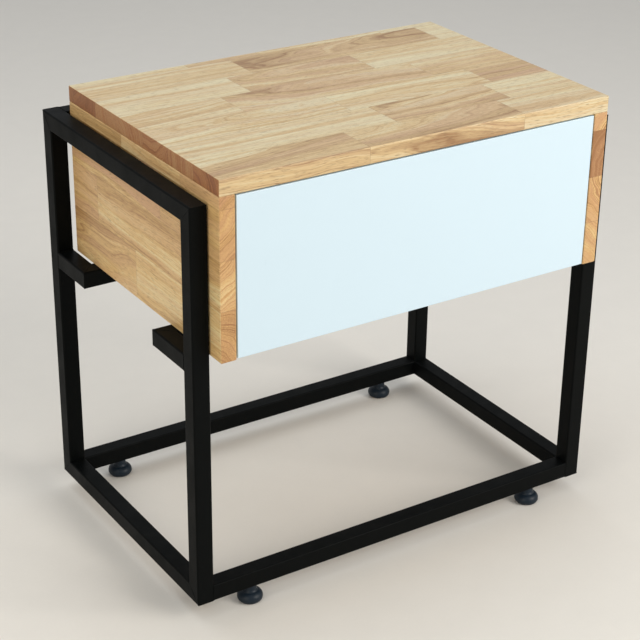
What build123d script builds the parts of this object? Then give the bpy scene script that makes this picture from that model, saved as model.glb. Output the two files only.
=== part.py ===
from build123d import *
import math
import os

# A bedside table: a timber case with one flush drawer, carried in a frame of black square tube.
# +X is to the right, +Y to the back and +Z up. The origin is on the floor, under the middle of
# the overall box. All sizes are in millimetres.

# Case, made of edge-glued boards
case_width = 540.0
case_depth = 366.0
case_height = 218.0
board = 20.0
bottom_board = 16.0
back_board = 10.0
back_rebate = 8.0
arris = 1.2

# Frame of square tube
tube = 22.0
tube_wall = 1.5
tube_corner = 2.0
frame_height = 511.5
case_rise = 35.0
side_gap = 1.5
post_setback = 23.0
rear_projection = 29.0
support_reach = 96.0

# Levelling feet, screwed into rivet nuts in the two cross rails
foot_height = 23.5
foot_inset = 78.0
foot_radius = 16.0
foot_edge = 2.0
foot_wide_height = 5.5
foot_waist = 1.6
foot_waist_height = 13.3
neck_radius = 8.0
neck_height = 16.9
neck_hollow = 0.5
neck_chamfer = 0.8
stud_radius = 4.0
stud_foot_depth = 6.0
stud_end_room = 2.5
stud_chamfer = 0.6
pad_inset = 1.0
pad_thickness = 2.0
pad_proud = 0.8
pad_rounding = 0.5
spigot_radius = 3.0
spigot_length = 2.5
nut_radius = 5.5
nut_length = 14.0
nut_flange_radius = 7.5
nut_flange = 1.0

# Drawer
front_thickness = 18.0
front_gap = 1.5
front_room = 4.0
front_arris = 0.8
drawer_board = 12.0
drawer_lift = 10.0
drawer_headroom = 32.0
drawer_bottom = 5.0
drawer_bottom_height = 10.0
groove_depth = 6.0
tray_play = 0.2

# Ball bearing drawer slides
slide_step = 50.0
slide_width = 12.7
slide_height = 45.5
slide_rise = 40.0
slide_end_room = 2.0
steel = 1.2
thin_steel = 1.0
ball_radius = 1.45
ball_pitch = 16.0
balls_in_row = 8
cage_strip = 0.6
race_gap = 3.2
ball_play = 0.15
outer_setback = 2.7
middle_setback = 0.6
inner_flange = 1.6
inner_step = 0.7
slide_lip = 1.1

# Push latch behind the drawer
latch_room = 34.0
latch_axis_height = 17.0
latch_stroke = 2.5
latch_width = 22.0
latch_foot_width = 46.0
latch_foot_thickness = 3.0
latch_top_wall = 10.0
latch_length = 23.5
latch_end_wall = 2.5
latch_tip_room = 0.7
latch_rounding = 4.0
tip_radius = 5.0
tip_thickness = 4.0
tip_rounding = 0.8
stem_radius = 3.0
stem_length = 13.0
spring_wire = 0.6
spring_radius = 2.3
spring_turns = 6

# Joining pieces
dowel_radius = 4.0
dowel_in_cover = 12.0
dowel_in_end = 22.0
dowel_end_room = 1.0
dowel_inset = 45.0
dowel_chamfer = 0.8
wood_screw_radius = 1.75
wood_head_radius = 3.4
back_screw_length = 28.0
back_screw_inset = 20.0
slide_screw_length = 10.0
slide_screw_places = (0.12, 0.5, 0.88)
case_screw_radius = 2.5
case_screw_head = 5.0
case_screw_head_height = 2.8
case_screw_grip = 12.0
case_screw_spread = 0.7
front_screw_radius = 2.0
front_screw_head = 4.0
front_screw_head_height = 2.2
front_screw_grip = 13.0
front_screw_spread = 0.62
front_screw_heights = (0.3, 0.75)
box_screw_radius = 2.5
box_screw_head = 4.5
box_screw_length = 40.0
box_screw_heights = (0.53, 0.87)

# Clearances
glued_gap = 0.05
running_gap = 0.06
face_gap = 0.3

# Levels and planes that follow from the sizes above
frame_bottom = foot_height
frame_top = frame_bottom + frame_height
case_top = frame_top + case_rise
case_bottom = case_top - case_height
case_floor = case_bottom + bottom_board
case_ceiling = case_top - board
foot_projection = foot_radius - tube / 2
overall_depth = case_depth + rear_projection + foot_projection
front_y = -overall_depth / 2
case_rear_y = front_y + case_depth
case_half = case_width / 2
bay_half = case_half - board
back_face_y = case_rear_y - back_board
post_front_y = front_y + post_setback
post_rear_y = case_rear_y + rear_projection
side_frame_x = case_half + side_gap + tube / 2
frame_half = side_frame_x + tube / 2

box_front_y = front_y + front_thickness
bay_front_y = box_front_y + front_room
slide_room = back_face_y - bay_front_y - latch_room
slide_length = slide_step * math.floor(slide_room / slide_step)
slide_front_y = bay_front_y
slide_rear_y = slide_front_y + slide_length
box_rear_y = slide_rear_y + slide_end_room
drawer_base = case_floor + drawer_lift
drawer_top = case_ceiling - drawer_headroom
drawer_height = drawer_top - drawer_base
slide_z = drawer_base + slide_rise
box_half = bay_half - slide_width
box_inner_half = box_half - drawer_board
tray_base = drawer_base + drawer_bottom_height

foot_flat_radius = foot_radius - foot_edge
pad_radius = foot_flat_radius - pad_inset
stud_top = frame_bottom + tube - tube_wall - stud_end_room
stud_length = stud_top - stud_foot_depth


def save(node, shape):
    """Write one node's solids to its STEP file."""
    export_step(shape, f"parts/{node}.step")


def block(x_ends, y_ends, z_ends):
    """A box between two values on each axis, given in any order."""
    low = [min(ends) for ends in (x_ends, y_ends, z_ends)]
    size = [abs(ends[1] - ends[0]) for ends in (x_ends, y_ends, z_ends)]
    return Pos(*low) * Box(*size, align=(Align.MIN, Align.MIN, Align.MIN))


def eased(shape, radius):
    """The same solid with every arris rounded over."""
    return fillet(shape.edges(), radius=radius)


def aimed(start, direction):
    """A frame at start whose +Z runs along direction."""
    return Plane(origin=start, z_dir=direction)


def rod(start, direction, radius, length):
    """A plain cylinder from start along direction."""
    along_z = (Align.CENTER, Align.CENTER, Align.MIN)
    return aimed(start, direction) * Cylinder(radius, length, align=along_z)


def group(shapes):
    """Several separate solids held in one node."""
    return Compound(children=list(shapes))


def turned(points):
    """The solid made by turning a closed outline, given as radius and height, about Z."""
    outline = Plane.XZ * make_face(Polyline(*points, close=True))
    return revolve(outline, axis=Axis.Z)


def countersunk_screw(radius, head_radius, length, grow=0.0):
    """A countersunk screw pointing along +Z with its head's face at zero. grow makes its pocket."""
    head_depth = head_radius - radius
    wide = head_radius + grow
    narrow = radius + grow
    tip = length + grow
    return turned(
        [
            (0, 0),
            (wide, 0),
            (narrow, head_depth),
            (narrow, tip - radius),
            (0.3 * radius, tip),
            (0, tip),
        ]
    )


def flat_screw(start, direction, radius, head_radius, length):
    """A countersunk screw with a hexagon socket, and the pocket that it fills."""
    place = aimed(start, direction)
    screw = countersunk_screw(radius, head_radius, length)
    socket = extrude(RegularPolygon(0.5 * head_radius, 6), amount=0.7 * (head_radius - radius))
    pocket = countersunk_screw(radius, head_radius, length, glued_gap)
    return place * (screw - socket), place * pocket


def pan_screw(start, direction, radius, head_radius, head_height, length):
    """A screw whose round head stands on the surface at start, and the hole that it fills."""
    place = aimed(start, direction)
    shank = turned(
        [(0, 0), (radius, 0), (radius, length - radius), (0.3 * radius, length), (0, length)]
    )
    head = Pos(0, 0, -head_height) * Cylinder(
        head_radius, head_height, align=(Align.CENTER, Align.CENTER, Align.MIN)
    )
    head = fillet(head.edges().sort_by(Axis.Z)[:1], radius=0.6 * head_height)
    socket = Pos(0, 0, -head_height) * extrude(
        RegularPolygon(0.45 * head_radius, 6), amount=0.6 * head_height
    )
    hole = rod((0, 0, 0), (0, 0, 1), radius + glued_gap, length + glued_gap)
    return place * (head + shank - socket), place * hole


# ---------------------------------------------------------------- frame of square tube


def mitred_tube(start, end, inward, mitre_start=True, mitre_end=True):
    """A square tube whose outer face runs from start to end, with its body towards inward.

    The two points are on the middle line of the outer face. A mitred end is longest there.
    """
    start = Vector(*start)
    run = Vector(*end) - start
    length = run.length
    run = run.normalized()
    place = Plane(origin=start, x_dir=run, z_dir=run.cross(Vector(*inward)))
    outer = RectangleRounded(tube, tube, tube_corner)
    inner = RectangleRounded(tube - 2 * tube_wall, tube - 2 * tube_wall, tube_corner - 0.5 * tube_wall)
    bar = Pos(0, tube / 2, 0) * extrude(Plane.YZ * (outer - inner), amount=length)
    spare = 1.0
    start_far = tube + spare if mitre_start else -spare
    end_far = length - tube - spare if mitre_end else length + spare
    ends = make_face(
        Polyline(
            (-spare, -spare),
            (length + spare, -spare),
            (end_far, tube + spare),
            (start_far, tube + spare),
            close=True,
        )
    )
    return place * (bar & extrude(ends, amount=tube, both=True))


def side_frame(x):
    """The four mitred tubes of one side frame, as front post, top rail, rear post, bottom rail."""
    corners = [
        (x, post_front_y, frame_bottom),
        (x, post_front_y, frame_top),
        (x, post_rear_y, frame_top),
        (x, post_rear_y, frame_bottom),
    ]
    inwards = [(0, 1, 0), (0, 0, -1), (0, -1, 0), (0, 0, 1)]
    tubes = []
    for k, inward in enumerate(inwards):
        tubes.append(mitred_tube(corners[k], corners[(k + 1) % 4], inward))
    return tubes


def support(post_face_y, reach):
    """One U-shaped support: the left stub, the tube across under the case, and the right stub."""
    z = case_bottom - tube / 2
    far_y = post_face_y + reach
    back = (0, -math.copysign(1, reach), 0)
    left = mitred_tube((-frame_half, post_face_y, z), (-frame_half, far_y, z), (1, 0, 0), False, True)
    across = mitred_tube((-frame_half, far_y, z), (frame_half, far_y, z), back)
    right = mitred_tube((frame_half, post_face_y, z), (frame_half, far_y, z), (-1, 0, 0), False, True)
    return left, across, right


def frame_parts():
    """The welded frame, with the holes for rivet nuts and case screws."""
    parts = {}
    for side, x in (("left", -side_frame_x), ("right", side_frame_x)):
        names = ("front_post", "top_rail", "rear_post", "bottom_rail")
        for name, piece in zip(names, side_frame(x)):
            parts[f"{side}_{name}"] = piece

    rail_z = frame_bottom + tube / 2
    rail_half = frame_half - tube
    for name, y, inward in (
        ("front_bottom_rail", post_front_y, (0, 1, 0)),
        ("rear_bottom_rail", post_rear_y, (0, -1, 0)),
    ):
        rail = mitred_tube((-rail_half, y, rail_z), (rail_half, y, rail_z), inward, False, False)
        for x in (-foot_x, foot_x):
            nut_hole = rod(
                (x, y + inward[1] * tube / 2, frame_bottom - 1),
                (0, 0, 1),
                nut_radius + glued_gap,
                tube_wall + 2,
            )
            rail -= nut_hole
        parts[name] = rail

    top_z = frame_top - tube / 2
    parts["rear_top_rail"] = mitred_tube(
        (-rail_half, post_rear_y, top_z), (rail_half, post_rear_y, top_z), (0, -1, 0), False, False
    )

    reach = support_reach - tube
    for name, face_y, signed_reach in (
        ("front", post_front_y + tube, reach),
        ("rear", post_rear_y - tube, -reach),
    ):
        left, across, right = support(face_y, signed_reach)
        parts[f"left_{name}_stub"] = left
        parts[f"right_{name}_stub"] = right
        parts[f"{name}_cross_tube"] = across
    return parts


foot_x = frame_half - foot_inset
foot_ys = {"front": post_front_y + tube / 2, "rear": post_rear_y - tube / 2}
cross_tube_ys = {
    "front": post_front_y + support_reach - tube / 2,
    "rear": post_rear_y - support_reach + tube / 2,
}
foot_spots = {
    f"{end}_{side}": (sign * foot_x, foot_ys[end])
    for end in ("front", "rear")
    for side, sign in (("left", -1), ("right", 1))
}

parts = frame_parts()


# ---------------------------------------------------------------- levelling feet


def rivet_nut():
    """A threaded insert set in the rail's lower wall, its flange under the rail."""
    body = Cylinder(nut_radius, nut_length, align=(Align.CENTER, Align.CENTER, Align.MIN))
    flange = Cylinder(nut_flange_radius, nut_flange, align=(Align.CENTER, Align.CENTER, Align.MAX))
    bore = Cylinder(stud_radius + running_gap, 3 * nut_length)
    return Pos(0, 0, frame_bottom) * (body + flange - bore)


def side_arc(radius, height, end_radius, end_height):
    """An arc that leaves its first point straight up or down and ends at its second."""
    rise = end_height - height
    middle_radius = (radius**2 - end_radius**2 - rise**2) / (2 * (radius - end_radius))
    arc_radius = radius - middle_radius
    turn = math.atan2(rise, end_radius - middle_radius) / 2
    halfway = (middle_radius + arc_radius * math.cos(turn), height + arc_radius * math.sin(turn))
    return ThreePointArc((radius, height), halfway, (end_radius, end_height))


def foot_base():
    """The moulded foot: a low dome that rises in a hollow curve to a neck."""
    neck_top = foot_height - nut_flange - face_gap
    waist = (neck_radius + foot_waist, foot_waist_height)
    hollow = (neck_radius + neck_hollow, (foot_waist_height + neck_height) / 2 - face_gap)
    outline = [
        Line((0, pad_proud), (foot_flat_radius, pad_proud)),
        side_arc(foot_radius, foot_wide_height, foot_flat_radius, pad_proud),
        side_arc(foot_radius, foot_wide_height, *waist),
        ThreePointArc(waist, hollow, (neck_radius, neck_height)),
        Line((neck_radius, neck_height), (neck_radius, neck_top - neck_chamfer)),
        Line((neck_radius, neck_top - neck_chamfer), (neck_radius - neck_chamfer, neck_top)),
        Line((neck_radius - neck_chamfer, neck_top), (0, neck_top)),
        Line((0, neck_top), (0, pad_proud)),
    ]
    body = revolve(Plane.XZ * make_face(Wire(outline)), axis=Axis.Z)
    low = (Align.CENTER, Align.CENTER, Align.MIN)
    pad_recess = Cylinder(pad_radius + face_gap, pad_thickness + running_gap, align=low)
    spigot_hole = Pos(0, 0, pad_thickness) * Cylinder(
        spigot_radius + running_gap, spigot_length + face_gap, align=low
    )
    stud_hole = Pos(0, 0, stud_foot_depth) * Cylinder(
        stud_radius + glued_gap, foot_height, align=low
    )
    return body - pad_recess - spigot_hole - stud_hole


def foot_stud():
    """The foot's steel stud, chamfered at both ends."""
    low = (Align.CENTER, Align.CENTER, Align.MIN)
    stud = Pos(0, 0, stud_foot_depth) * Cylinder(stud_radius, stud_length, align=low)
    return chamfer(stud.edges().filter_by(GeomType.CIRCLE), length=stud_chamfer)


def foot_pad():
    """The soft pad under the foot, with the spigot that the foot turns on."""
    low = (Align.CENTER, Align.CENTER, Align.MIN)
    pad = Cylinder(pad_radius, pad_thickness, align=low)
    pad = fillet(pad.edges().sort_by(Axis.Z)[:1], radius=pad_rounding)
    return pad + Pos(0, 0, pad_thickness) * Cylinder(spigot_radius, spigot_length, align=low)


nut = rivet_nut()
base = foot_base()
stud = foot_stud()
pad = foot_pad()
parts["foot_rivet_nuts"] = group(Pos(x, y, 0) * nut for x, y in foot_spots.values())
for name, (x, y) in foot_spots.items():
    parts[f"{name}_foot_base"] = Pos(x, y, 0) * base
    parts[f"{name}_foot_stud"] = Pos(x, y, 0) * stud
    parts[f"{name}_foot_pad"] = Pos(x, y, 0) * pad


# ---------------------------------------------------------------- case

case_y = (front_y, case_rear_y)
top_panel = eased(block((-case_half, case_half), case_y, (case_ceiling, case_top)), arris)
side_panels = {}
for side, sign in (("left", -1), ("right", 1)):
    panel = eased(block((sign * bay_half, sign * case_half), case_y, (case_bottom, case_ceiling)), arris)
    rebate = block(
        (sign * (bay_half - 1), sign * (bay_half + back_rebate)),
        (back_face_y, case_rear_y + 1),
        (case_bottom - 1, case_ceiling + 1),
    )
    side_panels[side] = panel - rebate
bottom_panel = block((-bay_half, bay_half), (bay_front_y, back_face_y), (case_bottom, case_floor))
back_panel = block(
    (-bay_half - back_rebate, bay_half + back_rebate),
    (back_face_y, case_rear_y),
    (case_bottom, case_ceiling),
)

dowels = []
dowel_length = dowel_in_cover + dowel_in_end
dowel_ys = (
    bay_front_y + dowel_inset,
    (bay_front_y + back_face_y) / 2,
    back_face_y - dowel_inset,
)
for side, sign in (("left", -1), ("right", 1)):
    for y in dowel_ys:
        up = (sign * (bay_half + board / 2), y, case_ceiling - dowel_in_end)
        out = (sign * (bay_half - dowel_in_end), y, case_bottom + bottom_board / 2)
        for start, direction in ((up, (0, 0, 1)), (out, (sign, 0, 0))):
            plain = rod(start, direction, dowel_radius, dowel_length)
            dowels.append(chamfer(plain.edges().filter_by(GeomType.CIRCLE), length=dowel_chamfer))
            before = Vector(*start) - Vector(*direction) * dowel_end_room
            hole = rod(before, direction, dowel_radius + glued_gap, dowel_length + 2 * dowel_end_room)
            side_panels[side] -= hole
            if direction == (0, 0, 1):
                top_panel -= hole
            else:
                bottom_panel -= hole
parts["case_dowels"] = group(dowels)

back_screws = []
low_z = case_bottom + bottom_board / 2
high_z = case_ceiling - back_screw_inset
side_screw_zs = (low_z, (low_z + high_z) / 2, high_z)
side_screw_x = bay_half + back_rebate / 2
spots = [(sign * side_screw_x, z) for sign in (-1, 1) for z in side_screw_zs]
spots += [(sign * bay_half / 2, low_z) for sign in (-1, 1)]
for x, z in spots:
    screw, pocket = flat_screw(
        (x, case_rear_y, z), (0, -1, 0), wood_screw_radius, wood_head_radius, back_screw_length
    )
    back_screws.append(screw)
    back_panel -= pocket
    if abs(x) > bay_half:
        side_panels["left" if x < 0 else "right"] -= pocket
    else:
        bottom_panel -= pocket
parts["back_screws"] = group(back_screws)

case_screws = []
for end, y in cross_tube_ys.items():
    for x in (-case_screw_spread * bay_half, case_screw_spread * bay_half):
        screw, hole = pan_screw(
            (x, y, case_bottom - tube),
            (0, 0, 1),
            case_screw_radius,
            case_screw_head,
            case_screw_head_height,
            tube + case_screw_grip,
        )
        case_screws.append(screw)
        parts[f"{end}_cross_tube"] -= hole
        bottom_panel -= hole
parts["case_to_frame_screws"] = group(case_screws)


# ---------------------------------------------------------------- drawer slides


def strip(side, u_ends, v_ends, y_ends):
    """A bar of a slide: u is measured from the case side into the bay, v from the slide's middle."""
    x_ends = [side * (bay_half - u) for u in u_ends]
    return block(x_ends, y_ends, [slide_z + v for v in v_ends])


def channel(side, web, flange_ends, v_face, thickness, lip_u, lip_v, y_ends):
    """A C-shaped slide member: a web, two flanges whose outer faces are at v_face, and two lips."""
    member = strip(side, web, (-v_face, v_face), y_ends)
    for sign in (-1, 1):
        member += strip(side, flange_ends, (sign * (v_face - thickness), sign * v_face), y_ends)
        member += strip(side, lip_u, [sign * v for v in lip_v], y_ends)
    return member


def ball_row(side, u, v):
    """The balls of one raceway, evenly spaced about the middle of the slide."""
    middle = (slide_front_y + slide_rear_y) / 2
    first = middle - ball_pitch * (balls_in_row - 1) / 2
    x = side * (bay_half - u)
    return [Pos(x, first + k * ball_pitch, slide_z + v) * Sphere(ball_radius) for k in range(balls_in_row)]


def ball_cage(side, web_u, ball_u, v):
    """A folded strip with a row of holes above and below, and the balls that run in them."""
    middle = (slide_front_y + slide_rear_y) / 2
    half = ball_pitch * balls_in_row / 2
    y_ends = (middle - half, middle + half)
    arm_u = ball_u + ball_radius - 0.1
    v_low = v - cage_strip / 2
    v_high = v + cage_strip / 2
    cage = strip(side, (web_u, web_u + cage_strip), (-v_high, v_high), y_ends)
    balls = []
    for sign in (-1, 1):
        cage += strip(side, (web_u, arm_u), (sign * v_low, sign * v_high), y_ends)
        balls += ball_row(side, ball_u, sign * v)
    for ball in balls:
        centre = ball.center()
        cage -= Pos(centre.X, centre.Y, centre.Z) * Cylinder(ball_radius + ball_play, 2)
    return group([cage, *balls])


outer_v = slide_height / 2
outer_race = outer_v - steel
middle_v = outer_race - race_gap
inner_race = middle_v - thin_steel
inner_v = inner_race - race_gap
outer_edge = slide_width - outer_setback
middle_web = 2 * steel
middle_edge = slide_width - steel - middle_setback
inner_edge = middle_web + thin_steel + inner_flange
inner_lip = inner_edge + inner_step
outer_ball_u = outer_edge - thin_steel - ball_radius - 0.5
inner_ball_u = inner_lip + ball_radius + 0.35
slide_members = {}
slide_y = (slide_front_y, slide_rear_y)
for side, sign in (("left", -1), ("right", 1)):
    slide_members[f"{side}_slide_outer"] = channel(
        sign,
        (0, steel),
        (0, outer_edge),
        outer_v,
        steel,
        (outer_edge - thin_steel, outer_edge),
        (outer_race - slide_lip, outer_race),
        slide_y,
    )
    slide_members[f"{side}_slide_middle"] = channel(
        sign,
        (middle_web, middle_web + thin_steel),
        (middle_web, middle_edge),
        middle_v,
        thin_steel,
        (middle_edge - thin_steel, middle_edge),
        (inner_race - slide_lip, inner_race),
        slide_y,
    )
    slide_members[f"{side}_slide_inner"] = channel(
        sign,
        (slide_width - steel, slide_width),
        (inner_edge, slide_width),
        inner_v,
        thin_steel,
        (inner_edge, inner_lip),
        (inner_v, inner_v + slide_lip),
        slide_y,
    )
    parts[f"{side}_outer_ball_cage"] = ball_cage(
        sign, steel + 0.3, outer_ball_u, (outer_race + middle_v) / 2
    )
    parts[f"{side}_inner_ball_cage"] = ball_cage(
        sign, middle_web + thin_steel + 0.5, inner_ball_u, (inner_race + inner_v) / 2
    )


# ---------------------------------------------------------------- drawer

drawer_front = eased(
    block(
        (-bay_half + front_gap, bay_half - front_gap),
        (front_y, box_front_y),
        (case_bottom + front_gap, case_ceiling - front_gap),
    ),
    front_arris,
)
inner_front_y = (box_front_y, box_front_y + drawer_board)
inner_back_y = (box_rear_y - drawer_board, box_rear_y)
box_z = (drawer_base, drawer_top)
groove_z = (tray_base - glued_gap, tray_base + drawer_bottom + glued_gap)
groove = block(
    (-box_inner_half - groove_depth, box_inner_half + groove_depth),
    (inner_front_y[1] - groove_depth, inner_back_y[0] + groove_depth),
    groove_z,
)
inner_front = block((-box_inner_half, box_inner_half), inner_front_y, box_z) - groove
drawer_back = block((-box_inner_half, box_inner_half), inner_back_y, box_z) - groove
drawer_sides = {
    side: block(
        (sign * box_inner_half, sign * box_half), (inner_front_y[0], inner_back_y[1]), box_z
    )
    - groove
    for side, sign in (("left", -1), ("right", 1))
}
tray_room = groove_depth - tray_play
parts["drawer_bottom"] = block(
    (-box_inner_half - tray_room, box_inner_half + tray_room),
    (inner_front_y[1] - tray_room, inner_back_y[0] + tray_room),
    (tray_base, tray_base + drawer_bottom),
)

box_screws = []
for side, sign in (("left", -1), ("right", 1)):
    for z in (drawer_base + share * drawer_height for share in box_screw_heights):
        for y in (sum(inner_front_y) / 2, sum(inner_back_y) / 2):
            screw, pocket = flat_screw(
                (sign * box_half, y, z), (-sign, 0, 0), box_screw_radius, box_screw_head, box_screw_length
            )
            box_screws.append(screw)
            drawer_sides[side] -= pocket
            if y < 0:
                inner_front -= pocket
            else:
                drawer_back -= pocket

front_screws = []
for x in (-front_screw_spread * bay_half, front_screw_spread * bay_half):
    for z in (drawer_base + share * drawer_height for share in front_screw_heights):
        screw, hole = pan_screw(
            (x, inner_front_y[1], z),
            (0, -1, 0),
            front_screw_radius,
            front_screw_head,
            front_screw_head_height,
            drawer_board + front_screw_grip,
        )
        front_screws.append(screw)
        inner_front -= hole
        drawer_front -= hole
parts["drawer_screws"] = group(box_screws + front_screws)

case_side_screws = []
drawer_side_screws = []
for side, sign in (("left", -1), ("right", 1)):
    for share in slide_screw_places:
        y = slide_front_y + share * slide_length
        screw, pocket = flat_screw(
            (sign * (bay_half - steel), y, slide_z),
            (sign, 0, 0),
            wood_screw_radius,
            wood_head_radius,
            slide_screw_length,
        )
        case_side_screws.append(screw)
        slide_members[f"{side}_slide_outer"] -= pocket
        side_panels[side] -= pocket
        screw, pocket = flat_screw(
            (sign * (box_half + steel), y, slide_z),
            (-sign, 0, 0),
            wood_screw_radius,
            wood_head_radius,
            slide_screw_length,
        )
        drawer_side_screws.append(screw)
        slide_members[f"{side}_slide_inner"] -= pocket
        drawer_sides[side] -= pocket
parts["slide_to_drawer_screws"] = group(drawer_side_screws)


# ---------------------------------------------------------------- push latch

latch_z = case_floor + latch_axis_height
tip_front_y = box_rear_y + face_gap
stem_front_y = tip_front_y + tip_thickness
latch_front_y = stem_front_y + latch_stroke + latch_tip_room
latch_rear_y = latch_front_y + latch_length
bore_rear_y = latch_rear_y - latch_end_wall
stem_rear_y = stem_front_y + stem_length

tip = rod((0, tip_front_y, latch_z), (0, 1, 0), tip_radius, tip_thickness)
tip = fillet(tip.edges().sort_by(Axis.Y)[:1], radius=tip_rounding)
parts["push_latch_plunger"] = tip + rod(
    (0, stem_front_y, latch_z), (0, 1, 0), stem_radius, stem_length
)

latch_y = (latch_front_y, latch_rear_y)
housing = block((-latch_width / 2, latch_width / 2), latch_y, (case_floor, latch_z + latch_top_wall))
housing = fillet(housing.edges().filter_by(Axis.Y).sort_by(Axis.Z)[-2:], radius=latch_rounding)
housing += block(
    (-latch_foot_width / 2, latch_foot_width / 2),
    latch_y,
    (case_floor, case_floor + latch_foot_thickness),
)
housing -= rod(
    (0, latch_front_y - 1, latch_z), (0, 1, 0), stem_radius + running_gap, bore_rear_y - latch_front_y + 1
)
for sign in (-1, 1):
    x = sign * (latch_width + latch_foot_width) / 4
    y = (latch_front_y + latch_rear_y) / 2
    screw, pocket = flat_screw(
        (x, y, case_floor + latch_foot_thickness),
        (0, 0, -1),
        wood_screw_radius,
        wood_head_radius,
        slide_screw_length,
    )
    case_side_screws.append(screw)
    housing -= pocket
    bottom_panel -= pocket
parts["push_latch_housing"] = housing
parts["slide_and_latch_screws"] = group(case_side_screws)

spring_length = bore_rear_y - stem_rear_y - spring_wire
spring_start = (0, stem_rear_y + spring_wire / 2, latch_z)
coil = Helix(
    pitch=spring_length / spring_turns,
    height=spring_length,
    radius=spring_radius,
    center=spring_start,
    direction=(0, 1, 0),
)
wire_end = Plane(origin=coil @ 0, z_dir=coil % 0)
parts["push_latch_spring"] = sweep(wire_end * Circle(spring_wire / 2), path=coil)


# ---------------------------------------------------------------- write the nodes

parts["top_panel"] = top_panel
parts["bottom_panel"] = bottom_panel
parts["back_panel"] = back_panel
parts["drawer_front"] = drawer_front
parts["drawer_inner_front"] = inner_front
parts["drawer_back"] = drawer_back
for side in ("left", "right"):
    parts[f"{side}_side_panel"] = side_panels[side]
    parts[f"drawer_{side}_side"] = drawer_sides[side]
parts.update(slide_members)

os.makedirs("parts", exist_ok=True)
for node, shape in parts.items():
    save(node, shape)
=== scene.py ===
import math

import bpy
import numpy as np
from bpy.props import FloatProperty, FloatVectorProperty, IntProperty, PointerProperty
from mathutils import Matrix, Vector


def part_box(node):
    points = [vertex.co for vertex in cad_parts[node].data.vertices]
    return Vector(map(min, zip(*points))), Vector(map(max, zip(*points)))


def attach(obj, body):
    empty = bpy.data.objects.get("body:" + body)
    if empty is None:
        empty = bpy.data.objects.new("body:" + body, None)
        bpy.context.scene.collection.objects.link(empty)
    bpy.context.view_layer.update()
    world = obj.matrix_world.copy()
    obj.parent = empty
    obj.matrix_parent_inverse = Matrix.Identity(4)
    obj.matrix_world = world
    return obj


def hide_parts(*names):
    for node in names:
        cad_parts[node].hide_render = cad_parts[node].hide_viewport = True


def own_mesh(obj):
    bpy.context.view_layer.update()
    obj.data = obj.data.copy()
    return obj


bl_info = {
    "name": "Bedside Table Finish",
    "version": (1, 0, 0),
    "blender": (4, 5, 0),
    "location": "3D View > Sidebar > Table",
    "description": "Finishes a bedside table with one drawer in a black square-tube frame",
    "category": "Object",
}

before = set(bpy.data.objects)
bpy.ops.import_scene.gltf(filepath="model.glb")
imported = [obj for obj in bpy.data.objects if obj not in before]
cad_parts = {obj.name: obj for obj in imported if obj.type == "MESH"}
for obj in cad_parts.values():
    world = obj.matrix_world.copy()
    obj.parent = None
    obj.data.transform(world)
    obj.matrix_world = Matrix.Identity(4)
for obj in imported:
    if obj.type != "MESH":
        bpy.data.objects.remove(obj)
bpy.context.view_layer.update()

MM = 0.001
SAME_PLACE = 1e-7
SIDES = ("left", "right")
FEET = ("front_left", "front_right", "rear_left", "rear_right")
TUBES = [f"{side}_{part}" for side in SIDES for part in (
    "front_post", "rear_post", "top_rail", "bottom_rail", "front_stub", "rear_stub")]
TUBES += ["front_bottom_rail", "rear_bottom_rail", "rear_top_rail", "front_cross_tube",
          "rear_cross_tube"]

# Each glued board's own start for its random draws.
SEEDS = {"top_board": 11, "left_side_board": 24, "right_side_board": 22, "bottom_board": 31,
         "back_board": 37}

# How far past a board's edges its outer staves are taken to reach, so that no glue line shows there.
OPEN_EDGE = 0.01

# Colours of the small parts, and of what lies in and on the wood.
COLOURS = {
    "zinc_plate": (0.56, 0.57, 0.585),
    "bearing_steel": (0.66, 0.67, 0.68),
    "screw_steel": (0.50, 0.50, 0.49),
    "stud_steel": (0.52, 0.52, 0.51),
    "beech": (0.56, 0.39, 0.22),
    "grey_plastic": (0.16, 0.165, 0.17),
    "soft_pad": (0.03, 0.03, 0.03),
    "wood_pore": (0.13, 0.062, 0.026),
    "glue_line": (0.12, 0.055, 0.025),
    "dust": (0.3, 0.29, 0.27),
}

# The square soft lights: name, the setting that holds its power, its side, its place, where it
# looks and its colour.
LIGHTS = (
    ("key_light", "key", 1.6, (1.4, -2.2, 1.55), (0.0, 0.0, 0.35), (1.0, 0.96, 0.90)),
    ("fill_light", "fill", 2.2, (-2.4, -0.9, 1.2), (0.0, 0.0, 0.35), (1.0, 0.90, 0.74)),
    ("top_light", "top", 2.4, (-0.2, 0.6, 2.6), (0.0, 0.0, 0.4), (0.94, 0.98, 1.0)),
)

# The staves of each glued board. A row is its width in millimetres and its staves; a stave is
# where it ends along the row in millimetres, then how brown, how pink and how flat-sawn it is.
TOP_ROWS = (
    (13.5, ((158, 0.20, 0.1, 0.2), (262, 0.50, 0.2, 0.6), (450, 0.42, 0.1, 0.6), (540, 0.00, 0.0, 0.0))),
    (59.2, ((217, 0.36, 0.0, 0.2), (503, 0.64, 0.3, 0.9), (540, 0.10, 0.0, 0.1))),
    (60.6, ((178, 0.12, 0.0, 0.2), (358, 0.50, 0.4, 0.8), (540, 0.14, 0.0, 0.2))),
    (60.0, ((135, 0.36, 0.0, 0.5), (405, 0.42, 0.4, 0.7), (540, 0.36, 0.2, 0.1))),
    (58.4, ((243, 0.06, 0.1, 0.9), (452, 0.14, 0.0, 0.5), (540, 0.62, 0.6, 0.3))),
    (59.0, ((267, 0.16, 0.0, 0.1), (433, 0.60, 0.2, 0.8), (540, 0.26, 0.1, 0.1))),
    (55.3, ((193, 0.46, 0.4, 0.4), (411, 0.56, 0.3, 0.8), (540, 0.28, 0.1, 0.3))),
)
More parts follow.
